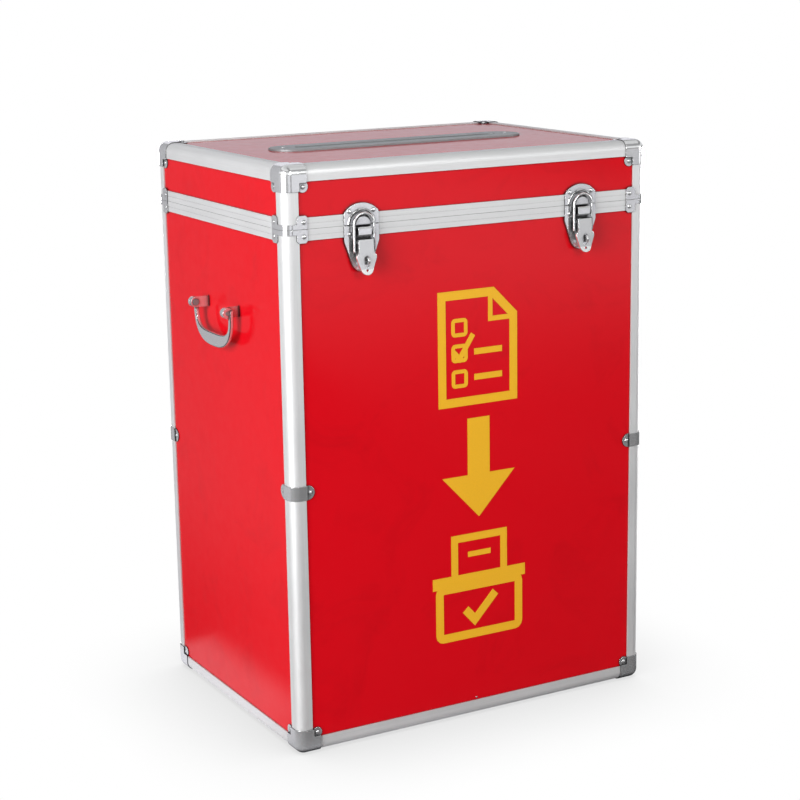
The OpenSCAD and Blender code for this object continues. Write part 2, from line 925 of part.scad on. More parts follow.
// Points of half a superellipse below z = 0, from +a round to -a
function under_curve(a, b, n, steps) = [
    for (i = [0 : steps]) let (t = 180 * i / steps, c = cos(t))
        [a * sign(c) * pow(abs(c), 2 / n), -b * pow(abs(sin(t)), 2 / n)]
];
function reversed(list) = [for (i = [len(list) - 1 : -1 : 0]) list[i]];

module bail_outline(inset) {
    polygon(concat(
        under_curve(bail_half - inset, bail_drop - inset, 2.7, 36),
        reversed(under_curve(bail_half - arm_w + inset, bail_drop - grip_h + inset, 4, 36))
    ));
}

module handle_bail(side) {
    pin_out = pivot_out - flange_t;
    arm_out = pin_out - eye_r + bail_t / 2 + 0.2;
    eye_in = lug_span / 2 + lug_t / 2 + eye_gap;
    bevel = 0.8;
    color(chrome) at_handle(side) difference() {
        union() {
            plate(-arm_out - bail_t / 2, -arm_out + bail_t / 2) bail_outline(bevel);
            plate(-arm_out - bail_t / 2 + bevel, -arm_out + bail_t / 2 - bevel) bail_outline(0);
            in_pairs() cheek(eye_in, eye_in + eye_t) translate([pin_out, 0]) circle(eye_r);
            in_pairs() cheek(bail_half - arm_w, bail_half)
                translate([arm_out - bail_t / 2 + bevel, -1]) square([bail_t - 2 * bevel, 3.4]);
        }
        cheek(-lug_span, lug_span) translate([pin_out, 0]) circle(handle_pin_r + running);
    }
}

module handle_pins() {
    pin_in = lug_span / 2 - lug_t / 2;
    pin_end = lug_span / 2 + lug_t / 2 + eye_gap + eye_t + 0.4;
    color(steel) for (side = [0, 1]) at_handle(side) translate([0, 0, 0]) in_pairs() {
        cheek(pin_in - 1, pin_end) translate([pivot_out - flange_t, 0]) circle(handle_pin_r);
        cheek(pin_in - 1, pin_in) translate([pivot_out - flange_t, 0]) circle(handle_pin_r + 1.2);
    }
}

// Hinges: drawn on the back, with z = 0 at the axis

module at_hinges() {
    for (s = [-1, 1]) on_back() translate([s * hinge_x, 0, seam_z + rim_gap / 2]) children();
}

// A leaf with its joggle from the rim band down to the board, hanging below the axis
module leaf(knuckle_spans, bore) {
    leaf_h = 32;
    band_h = rim_h;
    difference() {
        union() {
            intersection() {
                cheek(-leaf_w / 2, leaf_w / 2) polygon([
                    [0, -0.5], [leaf_t, -0.5], [leaf_t, -band_h - 0.7], [0, -band_h - 1.9],
                    [0, -leaf_h], [-leaf_t, -leaf_h], [-leaf_t, -band_h - 1.4], [0, -band_h - 0.2]
                ]);
                plate(-leaf_w, leaf_w) {
                    corner = 4;
                    translate([-leaf_w / 2, -leaf_h + corner]) square([leaf_w, leaf_h]);
                    translate([-leaf_w / 2 + corner, -leaf_h]) square([leaf_w - 2 * corner, leaf_h]);
                    for (s = [-1, 1]) translate([s * (leaf_w / 2 - corner), -leaf_h + corner]) circle(corner);
                }
            }
            for (span = knuckle_spans) {
                cheek(span[0], span[1]) translate([hinge_out, 0]) circle(knuckle_r);
                cheek(span[0], span[1]) translate([0, -knuckle_r]) square([hinge_out, leaf_t]);
            }
        }
        cheek(-leaf_w, leaf_w) translate([hinge_out, 0]) circle(bore);
        translate([0, 0, -rim_gap / 2]) holes([for (s = [-1, 1]) [s * hinge_rivet_x, -hinge_rivet_z]]);
    }
}

module hinge_body_leaves() {
    third = leaf_w / 6;
    color(chrome) at_hinges()
        leaf([[-leaf_w / 2, -third - 0.2], [third + 0.2, leaf_w / 2]], hinge_pin_r + 0.02);
}

module hinge_lid_leaves() {
    third = leaf_w / 6;
    color(chrome) at_hinges() mirror([0, 0, 1]) leaf([[-third + 0.2, third - 0.2]], knuckle_bore);
}

module hinge_pins() {
    color(steel) at_hinges() {
        cheek(-leaf_w / 2 - 0.8, leaf_w / 2 + 0.8) translate([hinge_out, 0]) circle(hinge_pin_r);
        in_pairs() cheek(leaf_w / 2, leaf_w / 2 + 0.8) translate([hinge_out, 0]) circle(hinge_pin_r + 0.8);
    }
}

front_panel();
back_panel();
side_panel(0);  // left_panel
side_panel(1);  // right_panel
bottom_panel();
body_post(0, 0);  // post_front_left
body_post(1, 0);  // post_front_right
body_post(0, 1);  // post_back_left
body_post(1, 1);  // post_back_right
rail_x(0, 0);  // bottom_rail_front
rail_x(1, 0);  // bottom_rail_back
rail_y(0, 0);  // bottom_rail_left
rail_y(1, 0);  // bottom_rail_right
on_front() body_rim(case_w, under_clips(half_w));  // body_rim_front
on_back() body_rim(case_w, body_clip_places(half_w));  // body_rim_back
on_left() body_rim(case_d, body_clip_places(half_d));  // body_rim_left
on_right() body_rim(case_d, body_clip_places(half_d));  // body_rim_right
bottom_corners();
mid_clips();
body_rim_clips();
body_rivets();
lid_top_panel();
lid_front_panel();
lid_back_panel();
lid_left_panel();
lid_right_panel();
lid_post(0, 0);  // lid_post_front_left
lid_post(1, 0);  // lid_post_front_right
lid_post(0, 1);  // lid_post_back_left
lid_post(1, 1);  // lid_post_back_right
rail_x(0, 1);  // top_rail_front
rail_x(1, 1);  // top_rail_back
rail_y(0, 1);  // top_rail_left
rail_y(1, 1);  // top_rail_right
on_front() lid_rim(case_w, over_clips(half_w));  // lid_rim_front
on_back() lid_rim(case_w, over_clips(half_w));  // lid_rim_back
on_left() lid_rim(case_d, over_clips(half_d));  // lid_rim_left
on_right() lid_rim(case_d, over_clips(half_d));  // lid_rim_right
top_corners();
lid_rim_clips();
lid_rivets();
slot_plate();
latch_base(-1);  // latch_base_left
latch_base(1);  // latch_base_right
latch_lever(-1);  // latch_lever_left
latch_lever(1);  // latch_lever_right
latch_loop(-1);  // latch_loop_left
latch_loop(1);  // latch_loop_right
latch_strike(-1);  // latch_strike_left
latch_strike(1);  // latch_strike_right
latch_pins();
handle_plate(0);  // handle_plate_left
handle_plate(1);  // handle_plate_right
handle_bail(0);  // handle_bail_left
handle_bail(1);  // handle_bail_right
handle_pins();
hinge_body_leaves();
hinge_lid_leaves();
hinge_pins();
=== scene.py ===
"""Looks of the ballot box, laid out as an add-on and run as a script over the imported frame."""

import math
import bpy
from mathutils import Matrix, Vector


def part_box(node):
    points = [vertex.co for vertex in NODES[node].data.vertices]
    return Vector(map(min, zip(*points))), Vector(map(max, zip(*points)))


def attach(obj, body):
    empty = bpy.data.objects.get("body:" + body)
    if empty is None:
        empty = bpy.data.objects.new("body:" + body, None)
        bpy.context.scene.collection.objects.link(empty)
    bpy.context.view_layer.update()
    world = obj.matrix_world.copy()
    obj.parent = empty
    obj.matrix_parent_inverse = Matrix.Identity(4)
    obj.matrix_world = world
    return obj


bl_info = {
    "name": "Ballot Box Looks",
    "version": (1, 0, 0),
    "blender": (4, 5, 0),
    "location": "View3D > Sidebar > Ballot Box",
    "description": "Finishes, signs, pressed fittings and studio of a ballot box",
    "category": "Object",
}

import bmesh
import bpy
import numpy as np
from mathutils import Vector

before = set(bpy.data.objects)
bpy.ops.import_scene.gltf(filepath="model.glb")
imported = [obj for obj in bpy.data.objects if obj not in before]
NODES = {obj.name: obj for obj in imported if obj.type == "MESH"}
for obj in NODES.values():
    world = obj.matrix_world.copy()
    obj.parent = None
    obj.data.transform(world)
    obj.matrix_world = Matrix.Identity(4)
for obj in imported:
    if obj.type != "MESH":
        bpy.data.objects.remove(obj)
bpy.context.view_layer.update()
MM = 0.001


def box_mm(node):
    """Lowest and highest corner of a node in millimetres."""
    low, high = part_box(node)
    return np.array(low) / MM, np.array(high) / MM


POST_LOW, POST_HIGH = box_mm("post_front_left")
RIGHT_LOW, RIGHT_HIGH = box_mm("post_back_right")
FRONT_Y = float(POST_LOW[1])
BACK_Y = float(RIGHT_HIGH[1])
CASE_Y = (FRONT_Y + BACK_Y) / 2
HALF_W = float(-POST_LOW[0])
HALF_D = (BACK_Y - FRONT_Y) / 2
BASE_Z = float(POST_LOW[2])
TOP_Z = float(box_mm("top_rail_front")[1][2])
SEAM_Z = float(POST_HIGH[2])
LID_Z = float(box_mm("lid_post_front_left")[0][2])
BOARD_Y = float(box_mm("front_panel")[0][1])


# Settings


class BoardSettings(bpy.types.PropertyGroup):
    """Colour and gloss of the red boards"""

    red: bpy.props.FloatVectorProperty(
        name="Red", description="Colour of the boards' outer face", subtype="COLOR", size=3,
        min=0, max=1, default=(0.76, 0.0006, 0.008))
    lining: bpy.props.FloatVectorProperty(
        name="Lining", description="Colour of the boards' inner face", subtype="COLOR", size=3,
        min=0, max=1, default=(0.42, 0.40, 0.37))
    gloss: bpy.props.FloatProperty(
        name="Gloss roughness", description="Roughness of the clear face", subtype="FACTOR",
        min=0, max=1, default=0.03)


class MetalSettings(bpy.types.PropertyGroup):
    """Colours and roughness of the metal parts"""

    aluminium: bpy.props.FloatVectorProperty(
        name="Aluminium", description="Colour of the edge extrusions", subtype="COLOR", size=3,
        min=0, max=1, default=(0.90, 0.905, 0.91))
    chrome: bpy.props.FloatVectorProperty(
        name="Chrome", description="Colour of the plated fittings", subtype="COLOR", size=3,
        min=0, max=1, default=(0.90, 0.91, 0.92))
    steel: bpy.props.FloatVectorProperty(
        name="Slot steel", description="Colour of the slot plate", subtype="COLOR", size=3,
        min=0, max=1, default=(0.38, 0.40, 0.41))
    brushed: bpy.props.FloatProperty(
        name="Brushed roughness", description="Roughness of the brushed edges", subtype="FACTOR",
        min=0, max=1, default=0.4)


class SignSettings(bpy.types.PropertyGroup):
    """Place and colour of the three signs on the front"""

    gold: bpy.props.FloatVectorProperty(
        name="Gold", description="Colour of the sign film", subtype="COLOR", size=3,
        min=0, max=1, default=(1.0, 0.53, 0.022))
    centre_x: bpy.props.FloatProperty(
        name="Centre", description="Distance of the column of signs from the middle, in millimetres",
        default=4.5)
    width: bpy.props.FloatProperty(
        name="Width", description="Width of one sign, in millimetres", min=40, max=200, default=116)
    top: bpy.props.FloatProperty(
        name="Top", description="Height of the column's top, in millimetres", default=465)
    bottom: bpy.props.FloatProperty(
        name="Bottom", description="Height of the column's foot, in millimetres", default=82)
    thickness: bpy.props.FloatProperty(
        name="Film", description="Thickness of the film, in millimetres", min=0.05, max=1, default=0.25)


class StageSettings(bpy.types.PropertyGroup):
    """Camera, lamps and floor"""

    camera_place: bpy.props.FloatVectorProperty(
        name="Camera", description="Place of the camera", subtype="TRANSLATION", unit="LENGTH", size=3,
        default=(-1.01103, -1.80396 + CASE_Y * MM, 0.79544))
    yaw: bpy.props.FloatProperty(
        name="Yaw", description="Turn of the view to the right", subtype="ANGLE", default=0.51)
    pitch: bpy.props.FloatProperty(
        name="Pitch", description="Tilt of the view downwards", subtype="ANGLE", default=0.228)
    roll: bpy.props.FloatProperty(
        name="Roll", description="Turn of the view about its own axis", subtype="ANGLE", default=-0.016)
    focal_px: bpy.props.FloatProperty(
        name="Focal length", description="Focal length in picture widths", default=1926.6 / 800)
    daylight: bpy.props.FloatProperty(
        name="Ambient", description="Strength of the even light", min=0, max=3, default=0.13)


SETTINGS = {
    "ballot_board": BoardSettings,
    "ballot_metal": MetalSettings,
    "ballot_signs": SignSettings,
    "ballot_stage": StageSettings,
}


# Shader building


def node_tree(material_name):
    """A new material with an empty node tree."""
    material = bpy.data.materials.new(material_name)
    material.use_nodes = True
    tree = material.node_tree
    tree.nodes.clear()
    return material, tree


def add(tree, kind, inputs=None, **options):
    """Adds one node, sets its options, and sets or links its inputs."""
    node = tree.nodes.new(kind)
    for key, value in options.items():
        setattr(node, key, value)
    for key, value in (inputs or {}).items():
        if isinstance(value, bpy.types.NodeSocket):
            tree.links.new(value, node.inputs[key])
        else:
            node.inputs[key].default_value = value
    return node


def math_node(tree, operation, first, second=0.0, clamp=False):
    """One Math node, given back as its output."""
    return add(tree, "ShaderNodeMath", {0: first, 1: second}, operation=operation, use_clamp=clamp).outputs[0]


def new_group(name, inputs, outputs):
    """A shader node group with named inputs and outputs, built once."""
    group = bpy.data.node_groups.new(name, "ShaderNodeTree")
    for title, kind, default in inputs:
        socket = group.interface.new_socket(title, in_out="INPUT", socket_type=kind)
        socket.default_value = default
    for title, kind in outputs:
        group.interface.new_socket(title, in_out="OUTPUT", socket_type=kind)
    return group, group.nodes.new("NodeGroupInput").outputs, group.nodes.new("NodeGroupOutput").inputs


def grain_group():
    """Brushed grain: noise drawn out along one direction, as a value and a finer height."""
    group, given, out = new_group(
        "Brushed grain",
        [("Place", "NodeSocketVector", (0, 0, 0)), ("Stretch", "NodeSocketVector", (1, 1, 1)),
         ("Scale", "NodeSocketFloat", 900.0)],
        [("Value", "NodeSocketFloat"), ("Height", "NodeSocketFloat")])
    drawn = add(group, "ShaderNodeVectorMath", {0: given["Place"], 1: given["Stretch"]},
                operation="MULTIPLY").outputs[0]
    coarse = add(group, "ShaderNodeTexNoise",
                 {"Vector": drawn, "Scale": given["Scale"], "Detail": 4.0, "Roughness": 0.6})
    finer_scale = math_node(group, "MULTIPLY", given["Scale"], 3.1)
    fine = add(group, "ShaderNodeTexNoise",
               {"Vector": drawn, "Scale": finer_scale, "Detail": 2.0, "Roughness": 0.5})
    group.links.new(coarse.outputs["Fac"], out["Value"])
    group.links.new(fine.outputs["Fac"], out["Height"])
    return group


def handling_group():
    """Handling marks: soft blotches and thin scratches that change the gloss."""
    group, given, out = new_group(
        "Handling marks",
        [("Place", "NodeSocketVector", (0, 0, 0)), ("Scale", "NodeSocketFloat", 12.0),
         ("Base", "NodeSocketFloat", 0.1), ("Amount", "NodeSocketFloat", 0.05)],
        [("Roughness", "NodeSocketFloat"), ("Marks", "NodeSocketFloat")])
    blotch = add(group, "ShaderNodeTexNoise",
                 {"Vector": given["Place"], "Scale": given["Scale"], "Detail": 5.0, "Roughness": 0.62})
    fine_scale = math_node(group, "MULTIPLY", given["Scale"], 14.0)
    fine = add(group, "ShaderNodeTexNoise",
               {"Vector": given["Place"], "Scale": fine_scale, "Detail": 3.0, "Distortion": 0.4})
    both = math_node(group, "MULTIPLY", blotch.outputs["Fac"], fine.outputs["Fac"])
    spread = math_node(group, "MULTIPLY", both, given["Amount"])
    spread = math_node(group, "MULTIPLY", spread, 4.0)
    total = math_node(group, "ADD", spread, given["Base"])
    group.links.new(total, out["Roughness"])
    group.links.new(both, out["Marks"])
    return group


def inside_group():
    """Mask of the case's inner side: 1 deeper than the given depth below every outer face."""
    group, given, out = new_group(
        "Inner side",
        [("Place", "NodeSocketVector", (0, 0, 0)), ("Depth", "NodeSocketFloat", 0.0035)],
        [("Mask", "NodeSocketFloat")])
    axes = add(group, "ShaderNodeSeparateXYZ", {0: given["Place"]}).outputs
    from_side = math_node(group, "SUBTRACT", HALF_W * MM, math_node(group, "ABSOLUTE", axes[0]))
    shifted = math_node(group, "SUBTRACT", axes[1], CASE_Y * MM)
    from_front = math_node(group, "SUBTRACT", HALF_D * MM, math_node(group, "ABSOLUTE", shifted))
    from_foot = math_node(group, "SUBTRACT", axes[2], BASE_Z * MM)
    from_top = math_node(group, "SUBTRACT", TOP_Z * MM, axes[2])
    nearest = math_node(group, "MINIMUM", from_side, from_front)
    nearest = math_node(group, "MINIMUM", nearest, from_foot)
    nearest = math_node(group, "MINIMUM", nearest, from_top)
    group.links.new(math_node(group, "GREATER_THAN", nearest, given["Depth"]), out["Mask"])
    return group


def crevice_group():
    """Mask for painted shade: 1 in the open, falling to 0 where neighbours close in within the distance."""
    group, given, out = new_group(
        "Crevice shade",
        [("Distance", "NodeSocketFloat", 0.008), ("Closed", "NodeSocketFloat", 0.4),
         ("Open", "NodeSocketFloat", 0.95)],
        [("Mask", "NodeSocketFloat")])
    seen = add(group, "ShaderNodeAmbientOcclusion", {"Distance": given["Distance"]}, samples=8).outputs["AO"]
    mask = add(group, "ShaderNodeMapRange", {0: seen, 1: given["Closed"], 2: given["Open"]}).outputs[0]
    group.links.new(mask, out["Mask"])
    return group


def edge_group():
    """Rounded edge: a normal rounded over the radius, and a mask of where it turns from the surface's own, which
    paints a highlight along edges.
    """
    group, given, out = new_group(
        "Rounded edge and highlight", [("Radius", "NodeSocketFloat", 0.0005)],
        [("Normal", "NodeSocketVector"), ("Mask", "NodeSocketFloat")])
    rounded = add(group, "ShaderNodeBevel", {"Radius": given["Radius"]}, samples=6).outputs[0]
    own = add(group, "ShaderNodeNewGeometry").outputs["True Normal"]
    turned = add(group, "ShaderNodeVectorMath", {0: rounded, 1: own}, operation="DOT_PRODUCT").outputs["Value"]
    mask = add(group, "ShaderNodeMapRange", {0: turned, 1: 0.995, 2: 0.88}).outputs[0]
    group.links.new(rounded, out["Normal"])
    group.links.new(mask, out["Mask"])
    return group


GROUPS = {}


def use_group(tree, name, inputs):
    """Places a shared group, building it the first time."""
    builders = {"grain": grain_group, "handling": handling_group, "inside": inside_group,
                "crevice": crevice_group, "edge": edge_group}
    if name not in GROUPS:
        GROUPS[name] = builders[name]()
    node = tree.nodes.new("ShaderNodeGroup")
    node.node_tree = GROUPS[name]
    for key, value in inputs.items():
        if isinstance(value, bpy.types.NodeSocket):
            tree.links.new(value, node.inputs[key])
        else:
            node.inputs[key].default_value = value
    return node.outputs


def place_of(tree):
    """Object coordinates: every piece sits at the origin, so they are metres in the frame."""
    return add(tree, "ShaderNodeTexCoord").outputs["Object"]


def close_material(tree, principled):
    """Joins the shader to the material's output."""
    out = tree.nodes.new("ShaderNodeOutputMaterial")
    tree.links.new(principled.outputs[0], out.inputs[0])


def board_material(settings):
    """Glossy red laminate outside with faint waviness, matt lining inside."""
    material, tree = node_tree("red_laminate")
    place = place_of(tree)
    inner = use_group(tree, "inside", {"Place": place})["Mask"]
    marks = use_group(tree, "handling", {"Place": place, "Scale": 6.0, "Base": 0.4, "Amount": 0.1})
    tone = add(tree, "ShaderNodeTexNoise", {"Vector": place, "Scale": 3.0, "Detail": 2.0}).outputs["Fac"]
    red = tuple(settings.red)
    deep = tuple(0.93 * c for c in red)
    outer = add(tree, "ShaderNodeMix", {"Factor": tone, "A": (*red, 1), "B": (*deep, 1)}, data_type="RGBA")
    fibre = add(tree, "ShaderNodeTexNoise", {"Vector": place, "Scale": 260.0, "Detail": 5.0}).outputs["Fac"]
    smudge = add(tree, "ShaderNodeTexNoise", {"Vector": place, "Scale": 11.0, "Detail": 6.0, "Roughness": 0.66,
                                              "Distortion": 1.2}).outputs["Fac"]
    smudged = add(tree, "ShaderNodeMapRange", {0: smudge, 1: 0.52, 2: 0.72, 4: 0.5}).outputs[0]
    outer = add(tree, "ShaderNodeMix", {"Factor": smudged, "A": outer.outputs["Result"],
                                        "B": (*(0.8 * c for c in red), 1)}, data_type="RGBA")
    lining = tuple(settings.lining)
    lined = add(tree, "ShaderNodeMix",
                {"Factor": fibre, "A": (*lining, 1), "B": (*(0.8 * c for c in lining), 1)}, data_type="RGBA")
    colour = add(tree, "ShaderNodeMix",
                 {"Factor": inner, "A": outer.outputs["Result"], "B": lined.outputs["Result"]},
                 data_type="RGBA")
    # Painted shade: the red darkens to near black where neighbouring parts close in, by ambient occlusion.
    clear = use_group(tree, "crevice", {"Distance": 0.005, "Closed": 0.45, "Open": 0.9})["Mask"]
    crevice_shaded = add(tree, "ShaderNodeMix", {"Factor": clear, "A": (0.09, 0.003, 0.004, 1),
                                          "B": colour.outputs["Result"]}, data_type="RGBA")
    rough = add(tree, "ShaderNodeMix", {"Factor": inner, "A": marks["Roughness"], "B": 0.85},
                data_type="FLOAT")
    coat = math_node(tree, "MULTIPLY_ADD", inner, -0.6)
    coat.node.inputs[2].default_value = 0.6
    haze = use_group(tree, "handling", {"Place": place, "Scale": 9.0, "Base": settings.gloss, "Amount": 0.04})
    wave = add(tree, "ShaderNodeTexNoise", {"Vector": place, "Scale": 9.0, "Detail": 1.0}).outputs["Fac"]
    bump = add(tree, "ShaderNodeBump", {"Height": wave, "Strength": 0.05, "Distance": 0.001})
    shader = add(tree, "ShaderNodeBsdfPrincipled", {
        "Base Color": crevice_shaded.outputs["Result"], "Roughness": rough.outputs["Result"],
        "Coat Weight": coat, "Coat Roughness": haze["Roughness"], "Normal": bump.outputs[0]})
    shader.inputs["Specular IOR Level"].default_value = 0.1
    shader.inputs["Coat IOR"].default_value = 1.45
    close_material(tree, shader)
    return material


def brushed_material(name, colour, roughness, stretch, scale=900.0, depth=0.12, metallic=0.5):
    """Brushed metal: grain drawn out along the part, in its colour, gloss and surface."""
    material, tree = node_tree(name)
    place = place_of(tree)
    grain = use_group(tree, "grain", {"Place": place, "Stretch": stretch, "Scale": scale})
    low = tuple(0.86 * c for c in colour)
    tint = add(tree, "ShaderNodeMix", {"Factor": grain["Value"], "A": (*low, 1), "B": (*colour, 1)},
               data_type="RGBA")
    marks = use_group(tree, "handling", {"Place": place, "Scale": 18.0, "Base": roughness, "Amount": 0.12})
    # Painted shade: the metal's colour darkens to near black where neighbouring parts close in, along seams, grooves
    # and round rivets, by ambient occlusion.
    clear = use_group(tree, "crevice", {"Distance": 0.003, "Closed": 0.1, "Open": 0.6})["Mask"]
    crevice_shaded = add(tree, "ShaderNodeMix", {"Factor": clear, "A": (0.09, 0.09, 0.095, 1),
                                          "B": tint.outputs["Result"]}, data_type="RGBA")
    bump = add(tree, "ShaderNodeBump", {"Height": grain["Height"], "Strength": depth, "Distance": 0.0002})
    shader = add(tree, "ShaderNodeBsdfPrincipled", {
        "Base Color": crevice_shaded.outputs["Result"], "Roughness": marks["Roughness"],
        "Normal": bump.outputs[0]})
    shader.inputs["Metallic"].default_value = metallic
    close_material(tree, shader)
    return material


def chrome_material(name, colour, roughness):
    """Bright plating with faint ripples, handling marks, a painted highlight along edges and painted shade in the
    crevices.
    """
    material, tree = node_tree(name)
    place = place_of(tree)
    marks = use_group(tree, "handling", {"Place": place, "Scale": 40.0, "Base": roughness, "Amount": 0.07})
    low = tuple(0.9 * c for c in colour)
    tint = add(tree, "ShaderNodeMix", {"Factor": marks["Marks"], "A": (*colour, 1), "B": (*low, 1)},
               data_type="RGBA")
    # Painted highlight: the colour turns white along edges, where the rounded normal turns away from the surface's
    # own.
    edge = use_group(tree, "edge", {"Radius": 0.0005})
    edge_highlighted = add(tree, "ShaderNodeMix", {"Factor": edge["Mask"], "A": tint.outputs["Result"],
                                       "B": (1, 1, 1, 1)}, data_type="RGBA")
    # Painted shade: two ambient-occlusion masks darken the plating to near black in crevices and round rivet feet.
    wide = use_group(tree, "crevice", {"Distance": 0.008, "Closed": 0.4, "Open": 0.93})["Mask"]
    close = use_group(tree, "crevice", {"Distance": 0.003, "Closed": 0.55, "Open": 0.97})["Mask"]
    film = math_node(tree, "MULTIPLY", wide, close)
    shaded = add(tree, "ShaderNodeMix", {"Factor": film, "A": (0.03, 0.03, 0.032, 1),
                                         "B": edge_highlighted.outputs["Result"]}, data_type="RGBA")
    ripple = add(tree, "ShaderNodeTexNoise", {"Vector": place, "Scale": 90.0, "Detail": 2.0}).outputs["Fac"]
    bump = add(tree, "ShaderNodeBump", {"Height": ripple, "Strength": 0.12, "Distance": 0.0004,
                                        "Normal": edge["Normal"]})
    shader = add(tree, "ShaderNodeBsdfPrincipled", {
        "Base Color": shaded.outputs["Result"], "Roughness": marks["Roughness"],
        "Normal": bump.outputs[0]})
    shader.inputs["Metallic"].default_value = 0.75
    close_material(tree, shader)
    return material


def film_material(settings):
    """Gold film with a fine sparkle and a clear face."""
    material, tree = node_tree("gold_film")
    place = place_of(tree)
    sparkle = add(tree, "ShaderNodeTexNoise", {"Vector": place, "Scale": 700.0, "Detail": 2.0}).outputs["Fac"]
    gold = tuple(settings.gold)
    tint = add(tree, "ShaderNodeMix", {"Factor": sparkle, "A": (*gold, 1), "B": (*(0.88 * c for c in gold), 1)},
               data_type="RGBA")
    marks = use_group(tree, "handling", {"Place": place, "Scale": 15.0, "Base": 0.32, "Amount": 0.06})
    shader = add(tree, "ShaderNodeBsdfPrincipled", {
        "Base Color": tint.outputs["Result"], "Roughness": marks["Roughness"]})
    shader.inputs["Specular IOR Level"].default_value = 0.3
    shader.inputs["Coat Weight"].default_value = 0.3
    shader.inputs["Coat Roughness"].default_value = 0.15
    close_material(tree, shader)
    return material


# Mesh building


def piece(name, vertices, faces, material, smooth=True, closed=True):
    """A mesh object at the origin from vertex and face arrays in millimetres, turned outwards if closed."""
    mesh = bpy.data.meshes.new(name)
    mesh.from_pydata((np.asarray(vertices, dtype=float) * MM).tolist(), [], [list(f) for f in faces])
    if closed:
        turned = bmesh.new()
        turned.from_mesh(mesh)
        bmesh.ops.recalc_face_normals(turned, faces=turned.faces)
        turned.to_mesh(mesh)
        turned.free()
    mesh.update()
    mesh.materials.append(material)
    if smooth:
        mesh.polygons.foreach_set("use_smooth", np.ones(len(mesh.polygons), dtype=bool))
    made = bpy.data.objects.new(name, mesh)
    bpy.context.scene.collection.objects.link(made)
    return made


def ribbon(points, width, closed):
    """Both edges of a stroke: each corner moves along its mitre by half the width."""
    p = np.asarray(points, dtype=float)
    ahead = np.roll(p, -1, axis=0) - p
    if not closed:
        ahead[-1] = ahead[-2]
    ahead /= np.linalg.norm(ahead, axis=1, keepdims=True)
    behind = np.roll(ahead, 1, axis=0)
    if not closed:
        behind[0] = ahead[0]
    side_a = np.stack([-ahead[:, 1], ahead[:, 0]], axis=1)
    side_b = np.stack([-behind[:, 1], behind[:, 0]], axis=1)
    mitre = side_a + side_b
    mitre *= (1.0 / np.maximum(0.2, (mitre * side_a).sum(axis=1)))[:, None]
    return p + mitre * width / 2, p - mitre * width / 2


def film_shapes(shapes, back, front):
    """Closed film bodies: a stroke is a strip between two mitred edges, a shape without width is filled."""
    vertices, faces, base = [], [], 0
    for layer, (points, width, closed) in enumerate(shapes):
        face = front - 0.004 * layer
        if width:
            left, right = ribbon(points, width, closed)
            rings = ((left, back), (left, face), (right, face), (right, back))
        else:
            outline = np.asarray(points, dtype=float)
            rings = ((outline, back), (outline, face))
        n = len(rings[0][0])
        for edge, depth in rings:
            vertices.append(np.column_stack([edge[:, 0], np.full(n, depth), edge[:, 1]]))
        i = np.arange(n if closed else n - 1)
        j = (i + 1) % n
        if width:
            for k in range(4):
                m = (k + 1) % 4
                faces += (base + np.column_stack([k * n + i, k * n + j, m * n + j, m * n + i])).tolist()
            if not closed:
                faces += (base + np.array([[0, n, 2 * n, 3 * n], [4 * n - 1, 3 * n - 1, 2 * n - 1, n - 1]])).tolist()
        else:
            faces += (base + np.column_stack([i, j, n + j, n + i])).tolist()
            faces += [(base + i[::-1]).tolist(), (base + n + i).tolist()]
        base += len(rings) * n
    return np.concatenate(vertices), faces


def rounded_rectangle(cx, cz, width, height, radius, steps=6):
    """Closed outline of a rectangle whose corners are quarter circles."""
    quarter = np.linspace(0, math.pi / 2, steps)
    corners = []
    for k, (sx, sz) in enumerate(((1, 1), (-1, 1), (-1, -1), (1, -1))):
        angle = quarter + k * math.pi / 2
        centre = np.array([cx + sx * (width / 2 - radius), cz + sz * (height / 2 - radius)])
        corners.append(centre + radius * np.column_stack([np.cos(angle), np.sin(angle)]))
    return np.concatenate(corners)


def half_ring(centre_x, centre_z, radius, half, foot_y, rise, steps=64, across=12):
    """Raised bead: at angle a and place t from -1 to 1 across it, the point lies at radius + half t round
    the centre and stands rise times the squared cosine of pi t / 2 proud; its back lies in the sheet."""
    angle = np.linspace(0, math.pi, steps)
    t = np.linspace(-1, 1, across)
    reach = np.append(radius + half * t, [radius + half, radius - half])
    depth = np.append(foot_y - rise * np.cos(math.pi * t / 2) ** 2, [foot_y + 0.3, foot_y + 0.3])
    n = len(reach)
    x = centre_x + np.outer(np.cos(angle), reach)
    z = centre_z + np.outer(np.sin(angle), reach)
    vertices = np.stack([x, np.tile(depth, (steps, 1)), z], axis=-1).reshape(-1, 3)
    row, column = np.meshgrid(np.arange(steps - 1) * n, np.arange(n), indexing="ij")
    after = (column + 1) % n
    faces = np.stack([row + column, row + after, row + n + after, row + n + column], axis=-1)
    ends = [list(range(n)), list(range((steps - 1) * n, steps * n))]
    return vertices, faces.reshape(-1, 4).tolist() + ends


# Operators


class BALLOT_OT_boards(bpy.types.Operator):
    """Finish the red boards of the body and the lid"""

    bl_idname = "ballot.boards"
    bl_label = "Boards"

    def execute(self, context):
        finish = board_material(context.scene.ballot_board)
        for name, node in NODES.items():
            if name.endswith("_panel"):
                node.material_slots[0].material = finish
        return {"FINISHED"}


